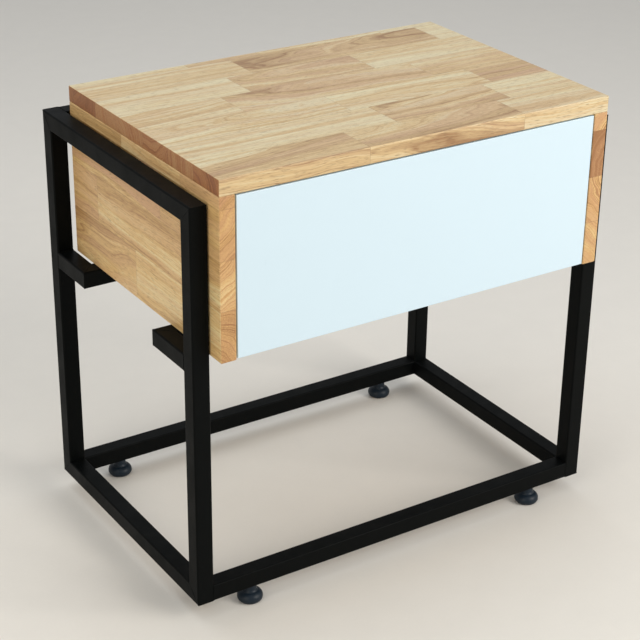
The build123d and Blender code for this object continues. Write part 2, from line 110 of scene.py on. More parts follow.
LEFT_ROWS = (
    (15.0, ((138, 0.60, 0.25, 0.3), (280, 0.35, 0.15, 0.2), (366, 0.62, 0.45, 0.3))),
    (60.0, ((230, 0.78, 0.95, 0.8), (366, 0.58, 0.25, 0.3))),
    (60.0, ((68, 0.80, 0.45, 0.8), (366, 0.50, 0.15, 0.4))),
    (63.0, ((165, 0.68, 0.25, 0.9), (366, 0.22, 0.10, 0.5))),
)
RIGHT_ROWS = (
    (22.0, ((120, 0.35, 0.25, 0.2), (366, 0.85, 0.65, 0.6))),
    (60.0, ((210, 0.50, 0.35, 0.7), (366, 0.95, 0.55, 0.9))),
    (60.0, ((95, 0.30, 0.15, 0.3), (290, 0.65, 0.35, 0.6), (366, 0.80, 0.35, 0.8))),
    (56.0, ((180, 0.75, 0.55, 0.8), (366, 0.58, 0.25, 0.5))),
)


# ---------------------------------------------------------------- settings


class TableWoodSettings(bpy.types.PropertyGroup):
    """Sizes and colours of the glued boards."""

    arris: FloatProperty(
        name="Eased edge", description="Radius of the boards' eased edges",
        default=1.2 * MM, min=0.2 * MM, unit="LENGTH")
    arris_steps: IntProperty(
        name="Edge steps", description="Faces across each eased edge", default=5, min=2)
    stave_width: FloatProperty(
        name="Stave width", description="Width of a stave where a board has no rows of its own",
        default=60 * MM, unit="LENGTH")
    ring: FloatProperty(
        name="Ring spacing", description="Usual distance between the bands of the grain",
        default=9 * MM, unit="LENGTH")
    seam: FloatProperty(
        name="Glue line", description="Width of the dark line between two staves",
        default=0.35 * MM, unit="LENGTH")
    pale: FloatVectorProperty(
        name="Pale wood", description="Colour of the palest staves", subtype="COLOR",
        default=(0.680, 0.600, 0.395))
    tan: FloatVectorProperty(
        name="Tan wood", description="Colour of the middle staves", subtype="COLOR",
        default=(0.600, 0.432, 0.225))
    brown: FloatVectorProperty(
        name="Brown wood", description="Colour of the darkest bands", subtype="COLOR",
        default=(0.300, 0.160, 0.068))
    pink: FloatVectorProperty(
        name="Pink wood", description="Colour that blushing staves turn towards", subtype="COLOR",
        default=(0.530, 0.345, 0.220))
    # Painted sheen: the top's tint is kept cooler than the sides', so the top shows paler and cooler as a
    # sheen would make it, over the oiling's own colour.
    top_oil_and_sheen: FloatVectorProperty(
        name="Top's oil", description="How the oil tints the top", subtype="COLOR",
        default=(1.0, 1.0, 0.98))
    # Painted light: the sides' tint is warmer than the top's on the same wood, over the oiling's own
    # colour.
    side_oil_and_light: FloatVectorProperty(
        name="Sides' oil", description="How the oil tints the sides", subtype="COLOR",
        default=(1.10, 1.02, 0.84))
    # Partly painted shade: the top's end grain is darkened far more than the sides' end grain of the same
    # wood; part of it is end grain soaking up more, the rest is painted shade.
    top_end_and_shade: FloatVectorProperty(
        name="Top's end grain", description="How the top's end grain darkens each colour",
        subtype="COLOR", default=(0.57, 0.335, 0.21))
    side_end: FloatVectorProperty(
        name="Sides' end grain", description="How the sides' end grain tints each colour",
        subtype="COLOR", default=(0.90, 0.80, 0.72))


class TableFrameSettings(bpy.types.PropertyGroup):
    """Finish of the tubes and their welds."""

    coat: FloatVectorProperty(
        name="Powder coat", description="Colour of the frame", subtype="COLOR",
        default=(0.0020, 0.0026, 0.0026))
    weld: FloatProperty(
        name="Weld bead", description="Radius of the dressed weld beads", default=1.1 * MM, unit="LENGTH")
    weld_sunk: FloatProperty(
        name="Weld sunk", description="How far each bead's middle lies under the tube's face",
        default=0.75 * MM, unit="LENGTH")
    ripple: FloatProperty(
        name="Weld ripple", description="Distance between the ripples of a bead", default=2.4 * MM,
        unit="LENGTH")


class TableDrawerSettings(bpy.types.PropertyGroup):
    """Colours of the drawer."""

    lacquer: FloatVectorProperty(
        name="White lacquer", description="Colour of the drawer front", subtype="COLOR",
        default=(0.575, 0.715, 0.810))
    ply: FloatVectorProperty(
        name="Birch face", description="Colour of the plywood's faces", subtype="COLOR",
        default=(0.68, 0.52, 0.33))
    ply_core: FloatVectorProperty(
        name="Birch edge", description="Colour of the darker layers in the plywood's edges",
        subtype="COLOR", default=(0.36, 0.22, 0.11))
    ply_layer: FloatProperty(
        name="Ply layer", description="Thickness of one layer of the plywood", default=1.33 * MM,
        unit="LENGTH")


class TableFootSettings(bpy.types.PropertyGroup):
    """Shape and colours of the levelling feet."""

    plastic: FloatVectorProperty(
        name="Foot plastic", description="Colour of the moulded feet", subtype="COLOR",
        default=(0.008, 0.015, 0.024))
    segments: IntProperty(name="Segments", description="Faces round each foot", default=72, min=12)
    wide_height: FloatProperty(
        name="Widest point", description="Height of the widest part of a foot", default=5.5 * MM,
        unit="LENGTH")
    waist_height: FloatProperty(
        name="Waist", description="Height where the dome turns into the neck", default=13.3 * MM,
        unit="LENGTH")
    neck: FloatProperty(
        name="Neck radius", description="Radius of the neck", default=8 * MM, unit="LENGTH")
    pad: FloatProperty(
        name="Pad", description="Thickness of the soft pad", default=2 * MM, unit="LENGTH")
    pad_gap: FloatProperty(
        name="Pad gap", description="Gap round the pad in its recess", default=0.3 * MM, unit="LENGTH")
    pad_clear: FloatProperty(
        name="Pad clearance", description="Gap between the pad and its recess's floor",
        default=0.06 * MM, unit="LENGTH")
    pad_rim: FloatProperty(
        name="Pad rim", description="Rounding of the pad's lower rim", default=0.5 * MM, unit="LENGTH")
    tuck: FloatProperty(
        name="Tuck", description="How far the foot's lower edge lies in from its widest",
        default=2 * MM, unit="LENGTH")
    flare: FloatProperty(
        name="Flare", description="How much wider the waist is than the neck", default=1.6 * MM,
        unit="LENGTH")
    flare_height: FloatProperty(
        name="Flare height", description="Height over which the waist narrows to the neck",
        default=3.4 * MM, unit="LENGTH")
    lip: FloatProperty(
        name="Lip", description="Rounding of the neck's top", default=0.8 * MM, unit="LENGTH")
    lip_cut: FloatProperty(
        name="Lip cut", description="How far the rounding's middle lies in from the square corner",
        default=0.25 * MM, unit="LENGTH")
    pitch: FloatProperty(
        name="Thread pitch", description="Rise of the stud's thread in one turn", default=1.25 * MM,
        unit="LENGTH")
    thread: FloatProperty(
        name="Thread depth", description="Depth of the stud's thread", default=0.55 * MM,
        unit="LENGTH")


class TableStageSettings(bpy.types.PropertyGroup):
    """Floor, lights and camera."""

    floor: FloatVectorProperty(
        name="Floor", description="Colour of the floor", subtype="COLOR", default=(0.74, 0.71, 0.66))
    floor_reach: FloatProperty(
        name="Floor reach", description="Distance from the table to the floor's edge", default=12.0,
        unit="LENGTH")
    key: FloatProperty(name="Key light", description="Power of the main light in watts", default=57.0)
    fill: FloatProperty(name="Fill light", description="Power of the fill light in watts", default=26.0)
    top: FloatProperty(name="Top light", description="Power of the overhead light in watts", default=22.0)
    sky: FloatProperty(name="Sky", description="Strength of the even light", default=0.50)
    camera_place: FloatVectorProperty(
        name="Camera", description="Where the camera stands", subtype="TRANSLATION",
        default=(-1.1068, -1.6858, 1.2375))
    camera_turn: FloatProperty(
        name="Azimuth", description="Direction of view, from +Y towards +X", unit="ROTATION",
        default=math.radians(33.033))
    camera_tilt: FloatProperty(
        name="Downward tilt", description="How far the view looks down", unit="ROTATION",
        default=math.radians(25.976))
    camera_roll: FloatProperty(
        name="Roll", description="Turn of the camera about its own line of sight",
        unit="ROTATION", default=math.radians(0.746))
    lens: FloatProperty(
        name="Focal length", description="Focal length in millimetres on a 36 mm sensor",
        default=97.64)


# ---------------------------------------------------------------- surfaces


def put_mesh(name, points, triangles, body):
    """A new piece from points and triangles, welded, turned outwards and set on its body.

    Points closer than a ten-thousandth of a millimetre become one, and triangles that lose a
    corner go. The sign of the enclosed volume says which way the triangles face.
    """
    keys, index = np.unique(np.round(points / SAME_PLACE).astype(np.int64), axis=0, return_inverse=True)
    first = np.zeros(len(keys), dtype=np.int64)
    first[index.ravel()] = np.arange(len(points))
    points = points[first]
    triangles = index.ravel()[triangles]
    a, b, c = triangles.T
    kept = (a != b) & (b != c) & (c != a)
    triangles = triangles[kept]
    a, b, c = (points[triangles[:, k]] for k in range(3))
    if np.einsum("ij,ij->", a, np.cross(b, c)) < 0:
        triangles = triangles[:, ::-1]
    mesh = bpy.data.meshes.new(name)
    mesh.from_pydata(points.tolist(), [], triangles.tolist())
    piece = bpy.data.objects.new(name, mesh)
    bpy.context.scene.collection.objects.link(piece)
    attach(piece, body)
    return piece


def grid_triangles(rows, columns, wrap_rows=False, wrap_columns=False):
    """The triangles of a grid of points, numbered row by row, joined round where it wraps."""
    i = np.arange(rows if wrap_rows else rows - 1)[:, None]
    j = np.arange(columns if wrap_columns else columns - 1)[None, :]
    here = i * columns + j
    right = i * columns + (j + 1) % columns
    below = (i + 1) % rows * columns + j
    across = (i + 1) % rows * columns + (j + 1) % columns
    first = np.stack([here, right, across], axis=-1).reshape(-1, 3)
    second = np.stack([here, across, below], axis=-1).reshape(-1, 3)
    return np.concatenate([first, second])


def capped_tube(name, rings, body):
    """A closed skin through rings of points, each end shut by a fan about the end ring's middle."""
    steps, sides = rings.shape[:2]
    count = steps * sides
    ring = np.arange(sides)
    last = count - sides + ring
    low_cap = np.stack([np.full(sides, count), np.roll(ring, -1), ring], -1)
    high_cap = np.stack([np.full(sides, count + 1), last, np.roll(last, -1)], -1)
    triangles = np.concatenate([grid_triangles(steps, sides, wrap_columns=True), low_cap, high_cap])
    points = np.concatenate([rings.reshape(-1, 3), rings[[0, -1]].mean(axis=1)])
    return put_mesh(name, points, triangles, body)


def smooth(piece, angle=35.0):
    """Shades a piece smoothly, except across edges sharper than the angle."""
    mesh = piece.data
    mesh.polygons.foreach_set("use_smooth", np.ones(len(mesh.polygons), dtype=bool))
    mesh.set_sharp_from_angle(angle=math.radians(angle))
    mesh.update()
    return piece


def turned_points(radii, heights, centre, segments):
    """A profile turned about an upright axis: radius times cosine and sine of the angle round."""
    angle = np.linspace(0, 2 * np.pi, segments, endpoint=False)[None, :]
    radii, heights = (np.asarray(v, dtype=float)[:, None] for v in (radii, heights))
    x = centre[0] + radii * np.cos(angle)
    y = centre[1] + radii * np.sin(angle)
    z = heights + 0 * angle
    return np.stack([x, y, z], axis=-1)


def turned_piece(name, profile, centre, segments, body):
    """A turned solid. Its profile is rows of radius and height that start and end on the axis."""
    radii, heights = np.asarray(profile, dtype=float).T
    points = turned_points(radii, heights, centre, segments)
    triangles = grid_triangles(len(radii), segments, wrap_columns=True)
    return smooth(put_mesh(name, points.reshape(-1, 3), triangles, body))


def arc(start, end, steps):
    """Points on the circle that leaves start straight up or down and passes through end."""
    start, end = np.asarray(start, dtype=float), np.asarray(end, dtype=float)
    rise = end[1] - start[1]
    middle = (start[0] ** 2 - end[0] ** 2 - rise**2) / (2 * (start[0] - end[0]))
    radius = start[0] - middle
    turn = np.linspace(0, math.atan2(rise, end[0] - middle), steps)
    return np.stack([middle + radius * np.cos(turn), start[1] + radius * np.sin(turn)], axis=-1)


def ease(start, end, steps):
    """Points between two that are upright at both ends: their radius follows half a cosine."""
    t = np.linspace(0, 1, steps)[:, None]
    blend = np.concatenate([(1 - np.cos(np.pi * t)) / 2, t], axis=1)
    return np.asarray(start) + (np.asarray(end) - np.asarray(start)) * blend


# ---------------------------------------------------------------- glued boards


def board_section(width, thickness, arris, steps, seams):
    """The rounded rectangle round a board, as points and outward directions, in (across, depth).

    Each corner is a quarter circle of the arris radius, and the two faces have a point at each
    seam between rows. Two lists of point numbers follow, for closing the ends: those across the
    near face and those across the far one, in step with each other.
    """
    q = np.linspace(0, np.pi / 2, steps + 1)
    flat = np.zeros(len(seams))
    quarter = (
        (width - arris, arris, np.sin(q), -np.cos(q)),
        (width - arris, thickness - arris, np.cos(q), np.sin(q)),
        (arris, thickness - arris, -np.sin(q), np.cos(q)),
        (arris, arris, -np.cos(q), -np.sin(q)),
    )
    corners = [
        (np.stack([x + arris * u, y + arris * v], -1), np.stack([u, v], -1)) for x, y, u, v in quarter]
    near = (np.stack([seams, flat], -1), np.stack([flat, flat - 1], -1))
    far = (np.stack([seams, flat + thickness], -1)[::-1], np.stack([flat, flat + 1], -1))
    order = [near, corners[0], corners[1], far, corners[2], corners[3]]
    points = np.concatenate([part[0] for part in order])
    outward = np.concatenate([part[1] for part in order])
    count = len(seams)
    near_edge = [len(points) - 1, *range(count), count]
    far_start = count + 2 * (steps + 1)
    far_edge = [far_start + count, *range(far_start + count - 1, far_start - 1, -1), far_start - 1]
    return points, outward, np.array(near_edge), np.array(far_edge)


def stave_board(name, node, axes, rows, rebate=None):
    """A board glued from staves, as one closed skin that carries each stave's grain.

    The section is carried along the grain. At each end it draws in along a quarter circle of the
    arris radius, and a rebate moves its inner face outwards over a stretch. Three attributes
    go with the corners of the faces: grain is the place in the stave's own log, whose pith the
    second and third numbers are measured from; stave is how brown, how pink, how banded and a
    random number; seams is the distance to the stave's four glue lines.
    """
    wood = bpy.context.scene.table_wood
    arris, steps = wood.arris, wood.arris_steps
    low, high = (np.array(corner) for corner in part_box(node))
    axes = np.array(axes, dtype=float)
    origin = np.where(axes.sum(axis=0) > 0, low, high)
    length, width, thickness = np.abs(axes @ (high - low))
    widths = np.array([row[0] * MM for row in rows])
    seams = np.cumsum(widths * width / widths.sum())[:-1]
    section, outward, near_edge, far_edge = board_section(width, thickness, arris, steps, seams)

    q = np.linspace(0, np.pi / 2, steps + 1)
    reach = rows[0][1][-1][0] * MM
    ends = [np.array([stave[0] * MM * length / reach for stave in row[1]]) for row in rows]
    inner = np.unique(np.concatenate([row_ends[:-1] for row_ends in ends]))
    along = np.concatenate([arris * (1 - np.cos(q)), inner, length - arris * (1 - np.cos(q[::-1]))])
    inset = np.concatenate([arris * (1 - np.sin(q)), 0 * inner, arris * (1 - np.sin(q[::-1]))])
    step = np.zeros(len(along))
    if rebate:
        reach_in, depth = rebate
        along = np.concatenate([along, [reach_in, reach_in]])
        inset = np.concatenate([inset, [0, 0]])
        order = np.argsort(along, kind="stable")
        along, inset = along[order], inset[order]
        step = np.where(along < reach_in, depth, 0.0)
        step[np.flatnonzero(along == reach_in)[0]] = depth

    flat = section[None, :, :] - inset[:, None, None] * outward[None, :, :]
    deep = np.where(section[None, :, 1] > thickness / 2, step[:, None], 0)
    local = np.stack(
        [np.broadcast_to(along[:, None], flat.shape[:2]), flat[..., 0], flat[..., 1] - deep], axis=-1)
    shape = local.shape[:2]
    triangles = grid_triangles(*shape, wrap_columns=True)
    for k in (0, shape[0] - 1):
        near, far = near_edge + k * shape[1], far_edge + k * shape[1]
        one = np.stack([near[:-1], near[1:], far[1:]], -1)
        two = np.stack([near[:-1], far[1:], far[:-1]], -1)
        if k == 0:
            one, two = one[:, ::-1], two[:, ::-1]
        triangles = np.concatenate([triangles, one, two])
    points = origin + local.reshape(-1, 3) @ axes
    piece = put_mesh(name, points, triangles, "table")
    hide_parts(node)
    mark_staves(piece, (points_of(piece) - origin) @ axes.T, seams, ends, rows, width)
    return piece


def points_of(piece):
    """A piece's vertices as rows of x, y, z."""
    values = np.empty(len(piece.data.vertices) * 3, dtype=np.float32)
    piece.data.vertices.foreach_get("co", values)
    return values.reshape(-1, 3).astype(float)


def mark_staves(piece, local, seams, ends, rows, width):
    """Writes the three attributes that the wood reads on every face's corners.

    A flat-sawn stave has its pith near the line of its middle, and stronger bands; a quarter-sawn
    one has it far to one side. Most piths lie outside the board's face, and the others behind it.
    """
    mesh = piece.data
    corner_vertex = np.empty(len(mesh.loops), dtype=np.int32)
    mesh.loops.foreach_get("vertex_index", corner_vertex)
    corners = local[corner_vertex].reshape(-1, 3, 3)
    middle = corners.mean(axis=1)
    row = np.searchsorted(seams, middle[:, 1])
    row_low = np.concatenate([[-OPEN_EDGE], seams])
    row_high = np.concatenate([seams, [width + OPEN_EDGE]])

    rng = np.random.default_rng(SEEDS[piece.name])
    facts = []
    for k, (row_ends, (_, staves)) in enumerate(zip(ends, rows)):
        for n, (_, brown, pink, flat) in enumerate(staves):
            start = -OPEN_EDGE if n == 0 else row_ends[n - 1]
            end = row_ends[n] + (OPEN_EDGE if n == len(staves) - 1 else 0)
            side = rng.choice([-1, 1])
            quarter_sawn, flat_sawn = rng.uniform(0.05, 0.11), rng.uniform(0, 0.012)
            pith_across = side * (0.004 + (1 - flat) * quarter_sawn + flat * flat_sawn)
            pith_deep = rng.uniform(0.012, 0.035) * (1 if rng.random() < 0.6 else -1.6)
            tilt = flat * rng.uniform(0.05, 0.13) * rng.choice([-1, 1])
            slope = rng.uniform(-0.02, 0.02)
            facts.append([
                start, end, row_low[k], row_high[k], rng.uniform(0, 40), pith_across, pith_deep, tilt,
                slope, brown, pink, 0.55 + 0.45 * flat, rng.random()])
    facts = np.array(facts)
    first = np.cumsum([0] + [len(row_ends) for row_ends in ends])
    stave = np.zeros(len(middle), dtype=int)
    for k, row_ends in enumerate(ends):
        mine = row == k
        number = np.searchsorted(row_ends, middle[mine, 0])
        stave[mine] = first[k] + np.minimum(number, len(row_ends) - 1)
    fact = facts[stave][:, None, :]
    start, end, low, high, shift, pith_across, pith_deep, tilt, slope = (fact[..., k] for k in range(9))

    s, t, w = (corners[..., k] for k in range(3))
    run = s - (start + end) / 2
    across = t - (low + high) / 2 + pith_across + run * slope
    grain = np.stack([run + shift, across, w + pith_deep + run * tilt], axis=-1)
    look = np.broadcast_to(fact[..., 9:], (*s.shape, 4))
    gaps = np.stack([s - start, end - s, t - low, high - t], axis=-1)
    for name, kind, field, values in (
        ("grain", "FLOAT_VECTOR", "vector", grain),
        ("stave", "FLOAT_COLOR", "color", look),
        ("seams", "FLOAT_COLOR", "color", gaps),
    ):
        layer = mesh.attributes.new(name, kind, "CORNER")
        layer.data.foreach_set(field, np.ascontiguousarray(values, dtype=np.float32).ravel())


def plain_rows(name, width, length):
    """Rows of staves of one width and of uneven lengths, for a board that is seldom seen."""
    rng = np.random.default_rng(SEEDS[name])
    count = max(1, round(width / bpy.context.scene.table_wood.stave_width))
    rows = []
    for _ in range(count):
        cuts = np.sort(rng.uniform(0.12, 0.88, rng.integers(1, 3)))
        staves = [
            (end * length / MM, rng.uniform(0.1, 0.7), rng.uniform(0, 0.5), rng.uniform(0, 1))
            for end in (*cuts, 1.0)
        ]
        rows.append((width / count / MM, staves))
    return rows


# ---------------------------------------------------------------- shader building


def feed(tree, socket, value):
    """Joins a socket to another one, or gives it a value; a colour may leave out its alpha."""
    if isinstance(value, bpy.types.NodeSocket):
        tree.links.new(value, socket)
    elif isinstance(socket, bpy.types.NodeSocketColor) and len(value) == 3:
        socket.default_value = (*value, 1.0)
    else:
        socket.default_value = value


def add(tree, kind, inputs=(), **settings):
    """A new node. inputs pairs a socket's name or number with a value or with another socket."""
    made = tree.nodes.new(kind)
    for key, value in settings.items():
        setattr(made, key, value)
    for key, value in dict(inputs).items():
        feed(tree, made.inputs[key], value)
    return made


def sums(tree, operation, *values, clamp=False):
    """The result of a Math node."""
    made = add(tree, "ShaderNodeMath", dict(enumerate(values)), operation=operation, use_clamp=clamp)
    return made.outputs[0]


def about_middle(tree, value, amount):
    """How far a noise, which lies between nothing and one, is from its middle, times an amount."""
    return sums(tree, "MULTIPLY", sums(tree, "SUBTRACT", value, 0.5), amount)


def vector(tree, operation, *values):
    """The result of a Vector Math node."""
    made = add(tree, "ShaderNodeVectorMath", dict(enumerate(values)), operation=operation)
    return made.outputs["Value" if operation in ("LENGTH", "DOT_PRODUCT") else "Vector"]


def blend(tree, factor, one, other, mode="MIX"):
    """The result of a colour Mix node, with its factor clamped."""
    made = add(tree, "ShaderNodeMix", {0: factor, 6: one, 7: other}, data_type="RGBA", blend_type=mode)
    return made.outputs[2]


def spread(tree, value, low, high, to_low=0.0, to_high=1.0, smooth_ends=True):
    """value taken from one range to another, clamped."""
    kind = "SMOOTHSTEP" if smooth_ends else "LINEAR"
    made = add(tree, "ShaderNodeMapRange", {0: value, 1: low, 2: high, 3: to_low, 4: to_high},
               interpolation_type=kind, clamp=True)
    return made.outputs[0]


def noise(tree, where, detail=2.0, rough=0.5, scale=1.0):
    """The value of a 3D noise at a place."""
    made = add(tree, "ShaderNodeTexNoise",
               {"Vector": where, "Scale": scale, "Detail": detail, "Roughness": rough})
    return made.outputs[0]


def new_group(name, inputs, outputs):
    """An empty shader group with its named sockets, and its two end nodes."""
    group = bpy.data.node_groups.new(name, "ShaderNodeTree")
    kinds = {"f": "NodeSocketFloat", "c": "NodeSocketColor", "v": "NodeSocketVector"}
    for in_out, sockets in (("INPUT", inputs), ("OUTPUT", outputs)):
        for label, kind in sockets:
            group.interface.new_socket(label, in_out=in_out, socket_type=kinds[kind])
    return group, group.nodes.new("NodeGroupInput").outputs, group.nodes.new("NodeGroupOutput").inputs


def place_group(tree, name, inputs):
    """A shader group set in a material, with its values; returns its outputs."""
    made = tree.nodes.new("ShaderNodeGroup")
    made.node_tree = bpy.data.node_groups.get(name) or GROUPS[name]()
    for key, value in inputs.items():
        feed(tree, made.inputs[key], value)
    return made.outputs


def grain_group():
    """Wood in three directions: bands round the pith, fibres along it and pores between them.

    A place's distance from the pith, bent by a slow drift and a quick wiggle, is counted in rings.
    The tone starts from how brown the stave is, and layers move it up and down: broad and narrow
    bands, dark late wood, fine lines, fibres and clouds. It then runs from pale over tan to dark,
    and pink blushes, pores and, at the ends, the end tint lie over that.
    """
    g, into, out = new_group(
        "Wood Grain",
        (("Place", "v"), ("Brown", "f"), ("Pink", "f"), ("Banding", "f"), ("Chance", "f"), ("End", "f"),
         ("Ring", "f"), ("Pale", "c"), ("Tan", "c"), ("Dark", "c"), ("Blush", "c"), ("End Tint", "c")),
        (("Color", "c"), ("Roughness", "f"), ("Height", "f")))
    place = into["Place"]
    drift = add(g, "ShaderNodeTexNoise", {
        "Vector": vector(g, "MULTIPLY", place, (5.0, 24.0, 24.0)), "Scale": 1.0, "Detail": 2.0})
    drift = vector(g, "SUBTRACT", drift.outputs["Color"], (0.5, 0.5, 0.5))
    wiggle = add(g, "ShaderNodeTexNoise", {
        "Vector": vector(g, "MULTIPLY", place, (26.0, 90.0, 90.0)), "Scale": 1.0, "Detail": 1.0})
    wiggle = vector(g, "SUBTRACT", wiggle.outputs["Color"], (0.5, 0.5, 0.5))
    swing = sums(g, "MULTIPLY", into["Banding"], 0.030)
    swing = add(g, "ShaderNodeCombineXYZ", {0: 0.0, 1: swing, 2: swing}).outputs[0]
    wavy = vector(g, "ADD", place, vector(g, "MULTIPLY", drift, swing))
    wavy = vector(g, "ADD", wavy, vector(g, "MULTIPLY", wiggle, (0.0, 0.0022, 0.0022)))
    across = vector(g, "LENGTH", vector(g, "MULTIPLY", wavy, (0.0, 1.0, 1.0)))
    parts = add(g, "ShaderNodeSeparateXYZ", {0: place}).outputs
    ring = sums(g, "DIVIDE", across, into["Ring"])

    def banded(ring_scale, run_scale, detail):
        """Noise that changes across the rings and hardly along the grain."""
        spot = add(g, "ShaderNodeCombineXYZ", {
            0: sums(g, "MULTIPLY", ring, ring_scale), 1: sums(g, "MULTIPLY", parts[0], run_scale)})
        return noise(g, spot.outputs[0], detail)

    broad = banded(0.55, 0.9, 1.0)
    band = banded(1.6, 1.4, 3.0)
    line = banded(9.0, 2.5, 2.0)
    late = sums(g, "ABSOLUTE", sums(g, "SUBTRACT", banded(2.1, 1.0, 1.0), 0.5))
    late = spread(g, late, 0.0, 0.05, 1.0, 0.0)
    hue = banded(0.9, 1.1, 1.0)
    fibre = noise(g, vector(g, "MULTIPLY", wavy, (14.0, 620.0, 620.0)), 2.0)
    cloud = noise(g, vector(g, "MULTIPLY", place, (7.0, 30.0, 30.0)), 2.0)
    pore = noise(g, vector(g, "MULTIPLY", place, (95.0, 1250.0, 1250.0)), 1.0)
    pore = spread(g, pore, 0.56, 0.72)

    calm = sums(g, "SUBTRACT", 1.0, sums(g, "MULTIPLY", into["End"], 0.55))
    banding = sums(g, "MULTIPLY", into["Banding"], calm)
    stave = sums(g, "ADD", about_middle(g, into["Chance"], 2.2), late)
    tone = into["Brown"]
    for layer in (
        about_middle(g, broad, sums(g, "MULTIPLY", banding, 2.1)),
        about_middle(g, band, sums(g, "MULTIPLY", banding, 1.7)),
        sums(g, "MULTIPLY", late, sums(g, "MULTIPLY", banding, 0.40)),
        about_middle(g, line, sums(g, "MULTIPLY", calm, 0.80)),
        about_middle(g, fibre, 0.95),
        about_middle(g, cloud, 0.50),
        sums(g, "MULTIPLY", into["End"], sums(g, "MULTIPLY", stave, 0.55)),
    ):
        tone = sums(g, "ADD", tone, layer)
    colour = blend(g, spread(g, tone, 0.0, 0.5, smooth_ends=False), into["Pale"], into["Tan"])
    colour = blend(g, spread(g, tone, 0.5, 1.3, smooth_ends=False), colour, into["Dark"])
    blush = sums(g, "MULTIPLY", sums(g, "ADD", into["Pink"], 0.25), spread(g, hue, 0.42, 0.62, 0.0, 0.8))
    colour = blend(g, blush, colour, into["Blush"])
    colour = blend(g, sums(g, "MULTIPLY", pore, 0.46), colour, COLOURS["wood_pore"])
    ends = blend(g, 1.0, colour, into["End Tint"], "MULTIPLY")
    colour = blend(g, into["End"], colour, ends)
    g.links.new(colour, out["Color"])
    rough = sums(g, "ADD", 0.34, sums(g, "MULTIPLY", sums(g, "ADD", fibre, cloud), 0.08))
    g.links.new(sums(g, "ADD", rough, sums(g, "MULTIPLY", into["End"], 0.14)), out["Roughness"])
    height = sums(g, "SUBTRACT", sums(g, "MULTIPLY", fibre, 0.35), pore)
    g.links.new(sums(g, "ADD", height, sums(g, "MULTIPLY", line, 0.3)), out["Height"])
    return g


def seam_group():
    """How close a place is to a glue line: one on the line, falling to nothing at its width."""
    g, into, out = new_group(
        "Glue Lines", (("Gaps", "c"), ("Last Gap", "f"), ("Width", "f")), (("Mask", "f"),))
    parts = add(g, "ShaderNodeSeparateColor", {0: into["Gaps"]}).outputs
    nearest = sums(g, "MINIMUM", sums(g, "MINIMUM", parts[0], parts[1]),
                   sums(g, "MINIMUM", parts[2], into["Last Gap"]))
    g.links.new(spread(g, nearest, 0.0, into["Width"], 1.0, 0.0), out["Mask"])
    return g


def speckle_group():
    """A plain finish with a fine texture: colour and roughness that drift, and a grain of bumps."""
    g, into, out = new_group(
        "Fine Texture",
        (("Place", "v"), ("Tint", "c"), ("Drift", "f"), ("Grain Size", "f"), ("Rough", "f"),
         ("Rough Drift", "f")),
        (("Color", "c"), ("Roughness", "f"), ("Height", "f")))
    per_grain = sums(g, "DIVIDE", 1.0, into["Grain Size"])
    fine = noise(g, into["Place"], 2.0, 0.55, per_grain)
    patch = noise(g, into["Place"], 3.0, 0.6, 22.0)
    both = sums(g, "ADD", about_middle(g, patch, 1.6), sums(g, "SUBTRACT", fine, 0.5))
    bright = sums(g, "ADD", 1.0, sums(g, "MULTIPLY", both, into["Drift"]))
    shade = add(g, "ShaderNodeCombineXYZ", {0: bright, 1: bright, 2: bright}).outputs[0]
    g.links.new(blend(g, 1.0, into["Tint"], shade, "MULTIPLY"), out["Color"])
    g.links.new(sums(g, "ADD", into["Rough"], sums(g, "MULTIPLY", both, into["Rough Drift"]), clamp=True),
                out["Roughness"])
    g.links.new(fine, out["Height"])
    return g


def dust_group():
    """Dust: soft patches that lie thickest on faces that look up."""
    g, into, out = new_group(
        "Dust", (("Place", "v"), ("Normal", "v"), ("Amount", "f")), (("Mask", "f"),))
    up = add(g, "ShaderNodeSeparateXYZ", {0: into["Normal"]}).outputs[2]
    patch = noise(g, into["Place"], 4.0, 0.65, 60.0)
    mask = sums(g, "MULTIPLY", spread(g, patch, 0.42, 0.80), spread(g, up, 0.2, 0.95, 0.15, 1.0))
    g.links.new(sums(g, "MULTIPLY", mask, into["Amount"]), out["Mask"])
    return g


GROUPS = {
    "Wood Grain": grain_group,
    "Glue Lines": seam_group,
    "Fine Texture": speckle_group,
    "Dust": dust_group,
}


def new_material(name, **constants):
    """An empty material with a Principled shader whose plain settings are constants."""
    material = bpy.data.materials.new(name)
    material.use_nodes = True
    tree = material.node_tree
    shader = tree.nodes["Principled BSDF"]
    for key, value in constants.items():
        shader.inputs[key.replace("_", " ")].default_value = value
    return material, tree, shader


def object_place(tree):
    """Object coordinates and normal."""
    made = tree.nodes.new("ShaderNodeTexCoord")
    return made.outputs["Object"], made.outputs["Normal"]


def bump(tree, shader, height, distance, strength=1.0):
    """Joins a height to the shader's normal."""
    made = add(tree, "ShaderNodeBump", {"Height": height, "Distance": distance, "Strength": strength})
    tree.links.new(made.outputs[0], shader.inputs["Normal"])


def wire_up(tree, shader, colour, roughness):
    """Joins a colour and a roughness to the shader."""
    tree.links.new(colour, shader.inputs["Base Color"])
    tree.links.new(roughness, shader.inputs["Roughness"])


